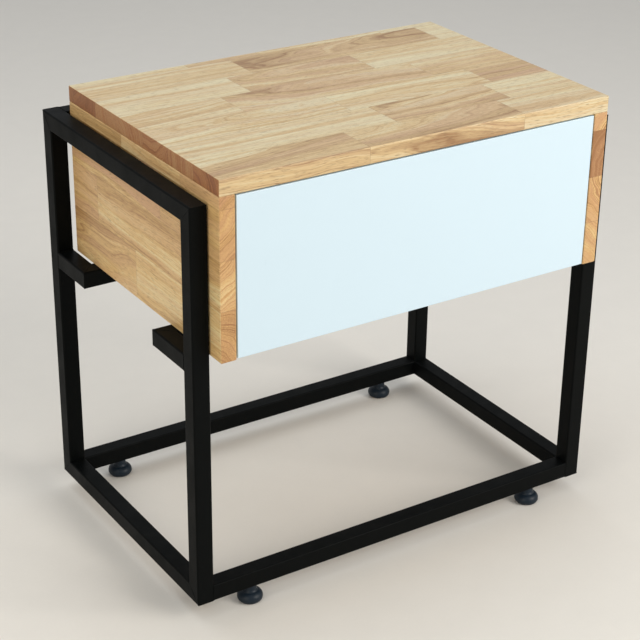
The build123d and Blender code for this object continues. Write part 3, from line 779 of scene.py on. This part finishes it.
def stave_wood(name, end_axis, end_tint_and_shade, oil_and_light_tint):
    """Lacquered staves: each corner's attributes say where in its log the wood lies.

    The tint colours the whole board: the colour of the oiling, with painted light over it, cooler on the
    top as a painted sheen and warmer on the sides. The end tint colours its end grain, which soaks up
    more; on the top's ends it is darker still, as painted shade.
    """
    wood = bpy.context.scene.table_wood
    material, tree, shader = new_material(name, Coat_Weight=0.18, Coat_Roughness=0.22, IOR=1.48)
    grain = add(tree, "ShaderNodeAttribute", attribute_name="grain").outputs["Vector"]
    look = add(tree, "ShaderNodeAttribute", attribute_name="stave").outputs["Color"]
    gaps = add(tree, "ShaderNodeAttribute", attribute_name="seams").outputs
    parts = add(tree, "ShaderNodeSeparateColor", {0: look}).outputs
    _, normal = object_place(tree)
    towards = add(tree, "ShaderNodeSeparateXYZ", {0: normal}).outputs[end_axis]
    end = spread(tree, sums(tree, "ABSOLUTE", towards), 0.55, 0.9)
    # Partly painted shade: on the top, the end tint darkens the end grain beyond what it soaks up,
    # standing in for shade.
    outputs = place_group(tree, "Wood Grain", {
        "Place": grain, "Brown": parts[0], "Pink": parts[1], "Banding": parts[2],
        "Chance": look.node.outputs["Alpha"], "End": end,
        "Ring": wood.ring, "Pale": wood.pale, "Tan": wood.tan, "Dark": wood.brown, "Blush": wood.pink,
        "End Tint": end_tint_and_shade})
    seam = place_group(tree, "Glue Lines", {
        "Gaps": gaps["Color"], "Last Gap": gaps["Alpha"], "Width": wood.seam})["Mask"]
    # Painted light: the board's colour is multiplied by a tint that holds the oiling's colour and painted
    # light, a cool sheen on the top and warmer light on the sides.
    colour = blend(tree, 1.0, outputs["Color"], oil_and_light_tint, "MULTIPLY")
    dark = blend(tree, sums(tree, "MULTIPLY", seam, 0.55), colour, COLOURS["glue_line"])
    wire_up(tree, shader, dark, outputs["Roughness"])
    bump(tree, shader, sums(tree, "SUBTRACT", outputs["Height"], seam), distance=0.00006, strength=0.6)
    return material


def textured(name, tint, drift, grain, rough, rough_drift, height, dust=0.0, **constants):
    """A plain finish with the fine texture, and dust on the faces that look up.

    Drift says how much the colour varies, rough_drift how much the roughness does, grain how wide
    the bumps are and height how tall, in metres.
    """
    material, tree, shader = new_material(name, **constants)
    place, normal = object_place(tree)
    outputs = place_group(tree, "Fine Texture", {
        "Place": place, "Tint": tint, "Drift": drift, "Grain Size": grain, "Rough": rough,
        "Rough Drift": rough_drift})
    colour, roughness = outputs["Color"], outputs["Roughness"]
    if dust:
        mask = place_group(tree, "Dust", {"Place": place, "Normal": normal, "Amount": dust})["Mask"]
        colour = blend(tree, mask, colour, COLOURS["dust"])
        roughness = sums(tree, "ADD", roughness, sums(tree, "MULTIPLY", mask, 0.3), clamp=True)
    wire_up(tree, shader, colour, roughness)
    bump(tree, shader, outputs["Height"], height)
    return material


def plywood(name, thickness_axis, along_axis):
    """Birch plywood: figured faces, and edges of layers stacked across the board's thickness."""
    drawer = bpy.context.scene.table_drawer
    material, tree, shader = new_material(name, Coat_Weight=0.08, Coat_Roughness=0.35)
    place, normal = object_place(tree)
    spots = add(tree, "ShaderNodeSeparateXYZ", {0: place}).outputs
    scale = [620.0, 620.0, 620.0]
    scale[along_axis] = 11.0
    fibre = noise(tree, vector(tree, "MULTIPLY", place, tuple(scale)), 3.0)
    scale = [22.0, 22.0, 22.0]
    scale[along_axis] = 2.4
    figure = noise(tree, vector(tree, "MULTIPLY", place, tuple(scale)), 3.0, 0.6)
    layer = sums(tree, "DIVIDE", spots[thickness_axis], 2 * drawer.ply_layer)
    turn = sums(tree, "ABSOLUTE", sums(tree, "SUBTRACT", sums(tree, "FRACT", layer), 0.5))
    layer = spread(tree, turn, 0.19, 0.31)
    towards = add(tree, "ShaderNodeSeparateXYZ", {0: normal}).outputs[thickness_axis]
    edge = spread(tree, sums(tree, "ABSOLUTE", towards), 0.4, 0.8, 1.0, 0.0)
    tone = sums(tree, "ADD", about_middle(tree, figure, 0.9), about_middle(tree, fibre, 0.5))
    figured = spread(tree, tone, -0.25, 0.45, smooth_ends=False)
    dark = tuple(0.62 * v for v in drawer.ply)
    face = blend(tree, figured, drawer.ply, dark)
    side = blend(tree, sums(tree, "MULTIPLY", layer, edge), face, drawer.ply_core)
    wire_up(tree, shader, side, sums(tree, "ADD", 0.44, sums(tree, "MULTIPLY", fibre, 0.14)))
    bump(tree, shader, fibre, distance=0.00005, strength=0.7)
    return material


def metal(name, rough, brushed_axis=None):
    """Bare or plated steel, with fine lines along one axis where it was rolled."""
    material, tree, shader = new_material(name, Metallic=1.0)
    place, _ = object_place(tree)
    scale = [1500.0, 1500.0, 1500.0]
    if brushed_axis is not None:
        scale[brushed_axis] = 25.0
    outputs = place_group(tree, "Fine Texture", {
        "Place": vector(tree, "MULTIPLY", place, tuple(v / 1500.0 for v in scale)),
        "Tint": COLOURS[name],
        "Drift": 0.22, "Grain Size": 0.0007, "Rough": rough, "Rough Drift": 0.18})
    wire_up(tree, shader, outputs["Color"], outputs["Roughness"])
    bump(tree, shader, outputs["Height"], distance=0.00002, strength=0.5)
    return material


def dress(names, material):
    """Gives CAD nodes a material in place of their own."""
    for name in names:
        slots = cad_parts[name].data.materials
        for k in range(max(1, len(slots))):
            if k < len(slots):
                slots[k] = material
            else:
                slots.append(material)


# ---------------------------------------------------------------- operators


class TableFrameFinish(bpy.types.Operator):
    """Gives the tubes their powder coat and lays the dressed weld beads over their joints"""

    bl_idname = "table.frame_finish"
    bl_label = "Frame finish and welds"

    def execute(self, context):
        setting = context.scene.table_frame
        coat = textured("powder_coat", setting.coat, drift=0.35, grain=0.00055, rough=0.46,
                        rough_drift=0.22, height=0.00003, dust=0.012, Specular_IOR_Level=0.05)
        dress(TUBES, coat)
        welds = self.beads(setting)
        welds.data.materials.append(coat)
        return {"FINISHED"}

    def beads(self, setting):
        """All weld beads as one piece: a round bead carried along each seam, with ripples.

        Its radius is the bead's, a tenth more or less as the cosine of the distance along the
        seam over the ripple, and falls to nothing at both ends as the fourth root of a sine.
        """
        starts, ends, normals = self.seams()
        lengths = np.linalg.norm(ends - starts, axis=1)
        steps, sides, swelling = 41, 10, 0.1
        t = np.linspace(0, 1, steps)[None, :, None]
        angle = np.linspace(0, 2 * np.pi, sides, endpoint=False)[None, None, :]
        swell = 1 + swelling * np.cos(2 * np.pi * t * lengths[:, None, None] / setting.ripple)
        radius = setting.weld * swell * np.sin(np.pi * t) ** 0.25 + 0 * angle
        along = (ends - starts) / lengths[:, None]
        across = np.cross(normals, along)
        middle = starts[:, None] + t * (ends - starts)[:, None] - setting.weld_sunk * normals[:, None]
        points = (
            middle[:, :, None, :]
            + (radius * np.cos(angle))[..., None] * across[:, None, None]
            + (radius * np.sin(angle))[..., None] * normals[:, None, None]
        )
        one = grid_triangles(steps, sides, wrap_columns=True)
        triangles = (np.arange(len(starts))[:, None, None] * steps * sides + one).reshape(-1, 3)
        piece = put_mesh("weld_beads", points.reshape(-1, 3), triangles, "table")
        return smooth(piece, angle=80)

    def seams(self):
        """Where tubes meet: the start, the end and the face's direction of each seam."""
        rows = []
        tube = np.ptp([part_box("left_front_post")[k][0] for k in (0, 1)])
        for side in SIDES:
            low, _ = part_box(f"{side}_bottom_rail")
            _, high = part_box(f"{side}_top_rail")
            for x, out in ((low[0], -1.0), (high[0], 1.0)):
                for y, into_y in ((low[1], 1.0), (high[1], -1.0)):
                    for z, into_z in ((low[2], 1.0), (high[2], -1.0)):
                        inner = (x, y + into_y * tube, z + into_z * tube)
                        rows.append(((x, y, z), inner, (out, 0.0, 0.0)))
            for end in ("front", "rear"):
                stub_low, stub_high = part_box(f"{side}_{end}_stub")
                cross_low, cross_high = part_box(f"{end}_cross_tube")
                outer_x = cross_low[0] if side == "left" else cross_high[0]
                inner_x = outer_x + (tube if side == "left" else -tube)
                outer_y = cross_high[1] if end == "front" else cross_low[1]
                inner_y = outer_y + (-tube if end == "front" else tube)
                post_y = stub_low[1] if end == "front" else stub_high[1]
                for z, up in ((stub_low[2], -1.0), (stub_high[2], 1.0)):
                    rows.append(((outer_x, outer_y, z), (inner_x, inner_y, z), (0.0, 0.0, up)))
                    rows.append(((outer_x, post_y, z), (inner_x, post_y, z), (0.0, 0.0, up)))
                for x, out in ((stub_low[0], -1.0), (stub_high[0], 1.0)):
                    rows.append(((x, post_y, stub_low[2]), (x, post_y, stub_high[2]), (out, 0.0, 0.0)))
            for rail in ("front_bottom_rail", "rear_bottom_rail", "rear_top_rail"):
                rail_low, rail_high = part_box(rail)
                x = rail_low[0] if side == "left" else rail_high[0]
                for y, out in ((rail_low[1], -1.0), (rail_high[1], 1.0)):
                    rows.append(((x, y, rail_low[2]), (x, y, rail_high[2]), (0.0, out, 0.0)))
                for z, up in ((rail_low[2], -1.0), (rail_high[2], 1.0)):
                    rows.append(((x, rail_low[1], z), (x, rail_high[1], z), (0.0, 0.0, up)))
        return (np.array([row[k] for row in rows], dtype=float) for k in range(3))


class TableTopBoard(bpy.types.Operator):
    """Glues up the table's top from staves that run from side to side"""

    bl_idname = "table.top_board"
    bl_label = "Top board"

    def execute(self, context):
        axes = ((1, 0, 0), (0, -1, 0), (0, 0, -1))
        top = stave_board("top_board", "top_panel", axes, TOP_ROWS)
        wood = context.scene.table_wood
        # The top's tint carries a painted cool sheen as well as the oiling's colour.
        top.data.materials.append(stave_wood("staves_across", 0, wood.top_end_and_shade, wood.top_oil_and_sheen))
        return {"FINISHED"}


class TableSideBoards(bpy.types.Operator):
    """Glues up the two side boards from staves that run from back to front"""

    bl_idname = "table.side_boards"
    bl_label = "Side boards"

    def execute(self, context):
        setting = context.scene.table_wood
        # The sides' tint carries painted warmer light as well as the oiling's colour.
        wood = stave_wood("staves_deep", 1, setting.side_end, setting.side_oil_and_light)
        back_low, back_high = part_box("back_panel")
        for side, rows, inward in (("left", LEFT_ROWS, 1), ("right", RIGHT_ROWS, -1)):
            low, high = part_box(f"{side}_side_panel")
            depth = high[0] - back_low[0] if side == "left" else back_high[0] - low[0]
            axes = ((0, -1, 0), (0, 0, -1), (inward, 0, 0))
            rebate = (back_high[1] - back_low[1], depth)
            board = stave_board(f"{side}_side_board", f"{side}_side_panel", axes, rows, rebate)
            board.data.materials.append(wood)
        return {"FINISHED"}


class TableHiddenBoards(bpy.types.Operator):
    """Glues up the case's bottom and back boards"""

    bl_idname = "table.hidden_boards"
    bl_label = "Bottom and back boards"

    def execute(self, context):
        wood = bpy.data.materials["staves_across"]
        for name, node, axes in (
            ("bottom_board", "bottom_panel", ((1, 0, 0), (0, -1, 0), (0, 0, -1))),
            ("back_board", "back_panel", ((1, 0, 0), (0, 0, -1), (0, -1, 0))),
        ):
            low, high = (np.array(corner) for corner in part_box(node))
            length, width, _ = np.abs(np.array(axes) @ (high - low))
            board = stave_board(name, node, axes, plain_rows(name, width, length))
            board.data.materials.append(wood)
        return {"FINISHED"}


class TableDrawer(bpy.types.Operator):
    """Gives the drawer its white lacquer and plywood"""

    bl_idname = "table.drawer"
    bl_label = "Drawer"

    def execute(self, context):
        setting = context.scene.table_drawer
        lacquer = textured("white_lacquer", setting.lacquer, drift=0.012, grain=0.0022, rough=0.30,
                           rough_drift=0.05, height=0.000012, Coat_Weight=0.25, Coat_Roughness=0.12)
        dress(["drawer_front"], lacquer)
        for names, finish, thickness_axis, along_axis in (
            (("drawer_inner_front", "drawer_back"), "ply_across", 1, 0),
            (("drawer_left_side", "drawer_right_side"), "ply_deep", 0, 1),
            (("drawer_bottom",), "ply_bottom", 2, 0),
        ):
            dress(names, plywood(finish, thickness_axis, along_axis))
        return {"FINISHED"}


class TableSlides(bpy.types.Operator):
    """Gives the drawer slides, their ball cages and the fixings their metals"""

    bl_idname = "table.slides"
    bl_label = "Slides and fixings"

    def execute(self, context):
        zinc = metal("zinc_plate", rough=0.30, brushed_axis=1)
        dress([f"{side}_slide_{part}" for side in SIDES for part in ("outer", "middle", "inner")], zinc)
        bright = metal("bearing_steel", rough=0.16)
        dress([f"{side}_{part}_ball_cage" for side in SIDES for part in ("outer", "inner")], bright)
        self.spring().data.materials.append(bright)
        screws = metal("screw_steel", rough=0.34)
        dress(["back_screws", "case_to_frame_screws", "drawer_screws",
               "slide_and_latch_screws", "slide_to_drawer_screws", "foot_rivet_nuts"], screws)
        beech = textured("beech", COLOURS["beech"], drift=0.2, grain=0.0006, rough=0.6,
                         rough_drift=0.1, height=0.00004)
        dress(["case_dowels"], beech)
        grey = textured("grey_plastic", COLOURS["grey_plastic"], drift=0.08, grain=0.0008,
                        rough=0.42, rough_drift=0.1, height=0.00002)
        dress(["push_latch_housing", "push_latch_plunger"], grey)
        return {"FINISHED"}

    def spring(self):
        """The latch's coil spring: a round wire wound evenly about a line along the Y axis.

        The wire's middle stands off that line by the coil's radius, at an angle of a full turn for
        each winding, and its skin is a circle between the outward direction and the Y axis.
        """
        low, high = (np.array(corner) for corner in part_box("push_latch_spring"))
        wire, windings, steps, sides = 0.3 * MM, 6, 145, 10
        t = np.linspace(0, 1, steps)[:, None, None]
        turn = 2 * np.pi * windings * t
        angle = np.linspace(0, 2 * np.pi, sides, endpoint=False)[None, :, None]
        outward = np.concatenate([np.cos(turn), 0 * turn, np.sin(turn)], axis=-1)
        reach = (high[0] - low[0]) / 2 - wire + wire * np.cos(angle)
        y = low[1] + wire + t * (high[1] - low[1] - 2 * wire) + wire * np.sin(angle)
        line = np.array([(low[0] + high[0]) / 2, 0.0, (low[2] + high[2]) / 2])
        rings = line + outward * reach + y * np.array([0.0, 1.0, 0.0])
        piece = smooth(capped_tube("latch_spring", rings, "table"), angle=50)
        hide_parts("push_latch_spring")
        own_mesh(piece)
        return piece


class TableFeet(bpy.types.Operator):
    """Turns the four levelling feet, with their pads and threaded studs"""

    bl_idname = "table.feet"
    bl_label = "Levelling feet"

    def execute(self, context):
        setting = context.scene.table_foot
        plastic = textured("foot_plastic", setting.plastic, drift=0.25, grain=0.0009, rough=0.42,
                           rough_drift=0.10, height=0.000012, dust=0.02, Specular_IOR_Level=0.22)
        pad_skin = textured("soft_pad", COLOURS["soft_pad"], drift=0.3, grain=0.0006, rough=0.85,
                            rough_drift=0.1, height=0.00005)
        steel = metal("stud_steel", rough=0.30)
        for foot in FEET:
            for part, skin in ((self.base(foot, setting), plastic), (self.pad(foot, setting), pad_skin),
                               (self.stud(foot, setting), steel)):
                part.data.materials.append(skin)
        return {"FINISHED"}

    def middle(self, node):
        """The axis of a turned node, and its radius, foot and top."""
        low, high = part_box(node)
        return ((low[0] + high[0]) / 2, (low[1] + high[1]) / 2), (high[0] - low[0]) / 2, low[2], high[2]

    def base(self, foot, setting):
        """The moulded foot: a recess for the pad, two arcs that meet at its widest, and a neck."""
        centre, radius, bottom, top = self.middle(f"{foot}_foot_base")
        recess = (self.middle(f"{foot}_foot_pad")[1] + setting.pad_gap, setting.pad + setting.pad_clear)
        wide = (radius, setting.wide_height)
        waist = (setting.neck + setting.flare, setting.waist_height)
        neck = (setting.neck, setting.waist_height + setting.flare_height)
        profile = np.concatenate([
            [(0, recess[1]), recess, (recess[0], bottom)],
            arc(wide, (radius - setting.tuck, bottom), 10)[::-1],
            arc(wide, waist, 18)[1:],
            ease(waist, neck, 9)[1:],
            [(setting.neck, top - setting.lip), (setting.neck - setting.lip_cut, top - setting.lip_cut),
             (setting.neck - setting.lip, top), (0, top)],
        ])
        piece = turned_piece(f"{foot}_foot_dome", profile, centre, setting.segments, f"{foot}_foot")
        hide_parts(f"{foot}_foot_base")
        return piece

    def pad(self, foot, setting):
        """The soft disc under the foot, rounded at its lower rim."""
        centre, radius, bottom, _ = self.middle(f"{foot}_foot_pad")
        q = np.linspace(0, np.pi / 2, 6)
        inset, lift = setting.pad_rim * (1 - np.sin(q)), setting.pad_rim * (1 - np.cos(q))
        rim = np.stack([radius - inset, bottom + lift], -1)
        top = bottom + setting.pad
        profile = np.concatenate([[(0, bottom)], rim, [(radius, top), (0, top)]])
        piece = turned_piece(f"{foot}_foot_sole", profile, centre, setting.segments, f"{foot}_foot_pad")
        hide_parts(f"{foot}_foot_pad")
        return piece

    def stud(self, foot, setting):
        """The threaded stud: its radius falls by the thread's depth and back once in each pitch.

        The wave's phase is the height over the pitch less the angle over a full turn, so its crest
        climbs as a right-hand screw, and the wave fades out over the first and last millimetre.
        """
        centre, radius, bottom, top = self.middle(f"{foot}_foot_stud")
        per_turn, segments, fading, clear = 8, 32, 1 * MM, 0.02 * MM
        height = np.linspace(bottom, top, int((top - bottom) / setting.pitch * per_turn))[:, None]
        angle = np.linspace(0, 2 * np.pi, segments, endpoint=False)[None, :]
        phase = height / setting.pitch - angle / (2 * np.pi)
        wave = np.abs(2 * (phase - np.floor(phase)) - 1)
        fade = np.clip(np.minimum(height - bottom, top - height) / fading, 0, 1)
        r = radius - clear - setting.thread * (1 - fade * (1 - wave))
        x, y, z = centre[0] + r * np.cos(angle), centre[1] + r * np.sin(angle), height + 0 * angle
        rings = np.stack([x, y, z], axis=-1)
        piece = capped_tube(f"{foot}_foot_thread", rings, f"{foot}_foot")
        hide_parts(f"{foot}_foot_stud")
        return smooth(piece, angle=50)


class TableStage(bpy.types.Operator):
    """Lays the floor and sets the lights, the sky and the camera"""

    bl_idname = "table.stage"
    bl_label = "Floor, lights and camera"

    def execute(self, context):
        setting = context.scene.table_stage
        self.floor(setting)
        for name, power, *rest in LIGHTS:
            self.light(name, getattr(setting, power), *rest)
        world = bpy.data.worlds.new("even_light")
        context.scene.world = world
        world.use_nodes = True
        background = world.node_tree.nodes["Background"].inputs
        background["Color"].default_value = (0.96, 0.98, 1.0, 1.0)
        background["Strength"].default_value = setting.sky
        context.scene.view_settings.view_transform = "Standard"
        self.camera(context, setting)
        return {"FINISHED"}

    def floor(self, setting):
        """A wide flat floor just under the pads."""
        reach = setting.floor_reach
        corners = [(-reach, -reach, 0.0), (reach, -reach, 0.0), (reach, reach, 0.0), (-reach, reach, 0.0)]
        mesh = bpy.data.meshes.new("floor")
        mesh.from_pydata(corners, [], [(0, 1, 2, 3)])
        piece = bpy.data.objects.new("floor", mesh)
        bpy.context.scene.collection.objects.link(piece)
        finish = textured("floor_finish", setting.floor, drift=0.03, grain=0.004, rough=0.62,
                          rough_drift=0.05, height=0.00005)
        mesh.materials.append(finish)

    def light(self, name, power, size, place, target, tint):
        """A square soft light that looks at a point."""
        lamp = bpy.data.lights.new(name, "AREA")
        lamp.energy, lamp.size, lamp.color = power, size, tint
        thing = bpy.data.objects.new(name, lamp)
        turned = (Vector(target) - Vector(place)).to_track_quat("-Z", "Y").to_matrix().to_4x4()
        thing.matrix_world = Matrix.Translation(place) @ turned
        bpy.context.scene.collection.objects.link(thing)

    def camera(self, context, setting):
        """The camera: its line of sight from a turn and a tilt, then a small roll about it."""
        turn, tilt, roll = setting.camera_turn, setting.camera_tilt, setting.camera_roll
        flat = math.cos(tilt)
        forward = Vector((math.sin(turn) * flat, math.cos(turn) * flat, -math.sin(tilt)))
        level = forward.cross(Vector((0, 0, 1))).normalized()
        rise = level.cross(forward)
        right = math.cos(roll) * level + math.sin(roll) * rise
        up = right.cross(forward)
        turned = Matrix((right, up, -forward)).transposed().to_4x4()
        data = bpy.data.cameras.new("camera")
        data.sensor_width = 36.0
        data.lens = setting.lens
        data.clip_start, data.clip_end = 0.05, 60.0
        thing = bpy.data.objects.new("camera", data)
        thing.matrix_world = Matrix.Translation(setting.camera_place) @ turned
        context.scene.collection.objects.link(thing)
        context.scene.camera = thing


OPERATORS = (
    TableFrameFinish, TableTopBoard, TableSideBoards, TableHiddenBoards, TableDrawer, TableSlides,
    TableFeet, TableStage,
)


class TablePanel(bpy.types.Panel):
    """Lists the table's settings and pieces in the sidebar"""

    bl_idname = "VIEW3D_PT_table"
    bl_label = "Bedside table"
    bl_space_type = "VIEW_3D"
    bl_region_type = "UI"
    bl_category = "Table"

    def draw(self, context):
        for title, name, group in SETTINGS:
            box = self.layout.box()
            box.label(text=title)
            for key in group.__annotations__:
                box.prop(getattr(context.scene, name), key)
        for operator in OPERATORS:
            self.layout.operator(operator.bl_idname)


SETTINGS = (
    ("Boards", "table_wood", TableWoodSettings),
    ("Frame", "table_frame", TableFrameSettings),
    ("Drawer", "table_drawer", TableDrawerSettings),
    ("Feet", "table_foot", TableFootSettings),
    ("Stage", "table_stage", TableStageSettings),
)


def register():
    """Adds the settings, operators and panel to Blender."""
    for _, name, group in SETTINGS:
        bpy.utils.register_class(group)
        setattr(bpy.types.Scene, name, PointerProperty(type=group))
    for operator in (*OPERATORS, TablePanel):
        bpy.utils.register_class(operator)


def unregister():
    """Takes them away again."""
    for operator in (TablePanel, *reversed(OPERATORS)):
        bpy.utils.unregister_class(operator)
    for _, name, group in reversed(SETTINGS):
        delattr(bpy.types.Scene, name)
        bpy.utils.unregister_class(group)


def main():
    """Builds every piece in order."""
    register()
    for operator in OPERATORS:
        area, call = operator.bl_idname.split(".")
        getattr(getattr(bpy.ops, area), call)()


if __name__ == "__main__":
    main()
